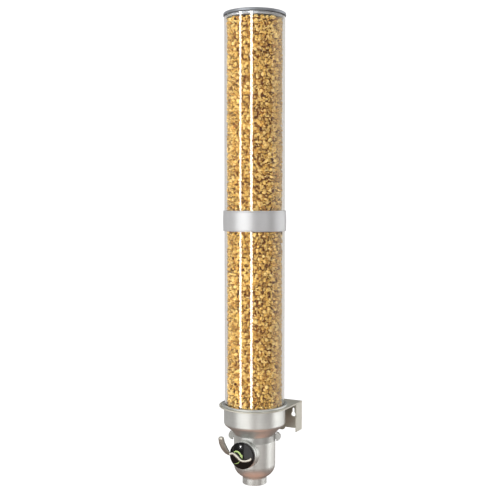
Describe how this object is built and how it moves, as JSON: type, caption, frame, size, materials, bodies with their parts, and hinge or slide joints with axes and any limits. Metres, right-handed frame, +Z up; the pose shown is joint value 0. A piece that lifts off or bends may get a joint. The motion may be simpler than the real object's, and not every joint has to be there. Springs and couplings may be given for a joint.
{
  "type": "wall-mounted gravity dry-food dispenser",
  "caption": "Tall clear tube hopper on a wall bracket, with a lift-off lid, funnel cup and a lever-turned portion wheel that drops dry food from a spout",
  "frame": {"origin": "on the wall face of the bracket's back plate, midway between the two keyholes, level with the seats of their screws", "axes": "+Y into the wall, +Z up along the tube, +X to the right of a person facing the knob"},
  "size_m": [0.154, 0.1616, 1.012],
  "materials": {
    "bracket_steel": "champagne-grey powder coat, satin",
    "satin_silver": "moulded, metallic silver coat, satin",
    "band_silver": "brushed, anodised",
    "lid_grey": "steel-grey, satin",
    "clear_acrylic": "clear, polished",
    "gloss_black": "black, high gloss",
    "lever_metal": "cast, polished where it crosses the knob",
    "steel": "plain turned steel",
    "vane_rubber": "food-grade, matt",
    "seal_rubber": "matt",
    "inner_plastic": "natural, matt"
  },
  "bodies": {
    "bracket": {"wall_plate": "bracket_steel", "ring_plate": "bracket_steel", "hopper_cup": "satin_silver", "tube_seat_gasket": "seal_rubber"},
    "canister": {"lower_tube": "clear_acrylic", "upper_tube": "clear_acrylic", "tube_joint_seal": "seal_rubber", "tube_joint_band": "band_silver"},
    "lid": {"lid": "lid_grey", "lid_seal": "seal_rubber"},
    "collar": {"locking_collar": "satin_silver"},
    "housing": {"wheel_housing": "satin_silver", "portion_drum": "inner_plastic", "front_cover": "satin_silver", "front_bush": "inner_plastic", "rear_bush": "inner_plastic"},
    "rotor": {"wheel_spool": "inner_plastic", "wheel_vane_1": "vane_rubber", "wheel_vane_2": "vane_rubber", "wheel_vane_3": "vane_rubber", "wheel_vane_4": "vane_rubber", "wheel_vane_5": "vane_rubber", "wheel_vane_6": "vane_rubber", "drive_shaft": "steel", "retaining_clip": "steel", "knob_disc": "gloss_black", "lever_handle": "lever_metal"}
  },
  "joints": [
    {"name": "tube_lift", "type": "slide", "parent": "bracket", "child": "canister", "axis": [0, 0, 1], "range_m": [0, 0.045]},
    {"name": "lid_lift", "type": "slide", "parent": "canister", "child": "lid", "axis": [0, 0, 1], "range_m": [0, 0.05]},
    {"name": "collar_twist", "type": "hinge", "parent": "bracket", "child": "collar", "pos_m": [0, -0.082, -0.049], "axis": [0, 0, 1], "range_deg": [-40, 0]},
    {"name": "housing_drop", "type": "slide", "parent": "bracket", "child": "housing", "axis": [0, 0, -1], "range_m": [0, 0.03]},
    {"name": "wheel_turn", "type": "hinge", "parent": "housing", "child": "rotor", "pos_m": [0, -0.082, -0.078], "axis": [0, -1, 0], "continuous": true}
  ]
}
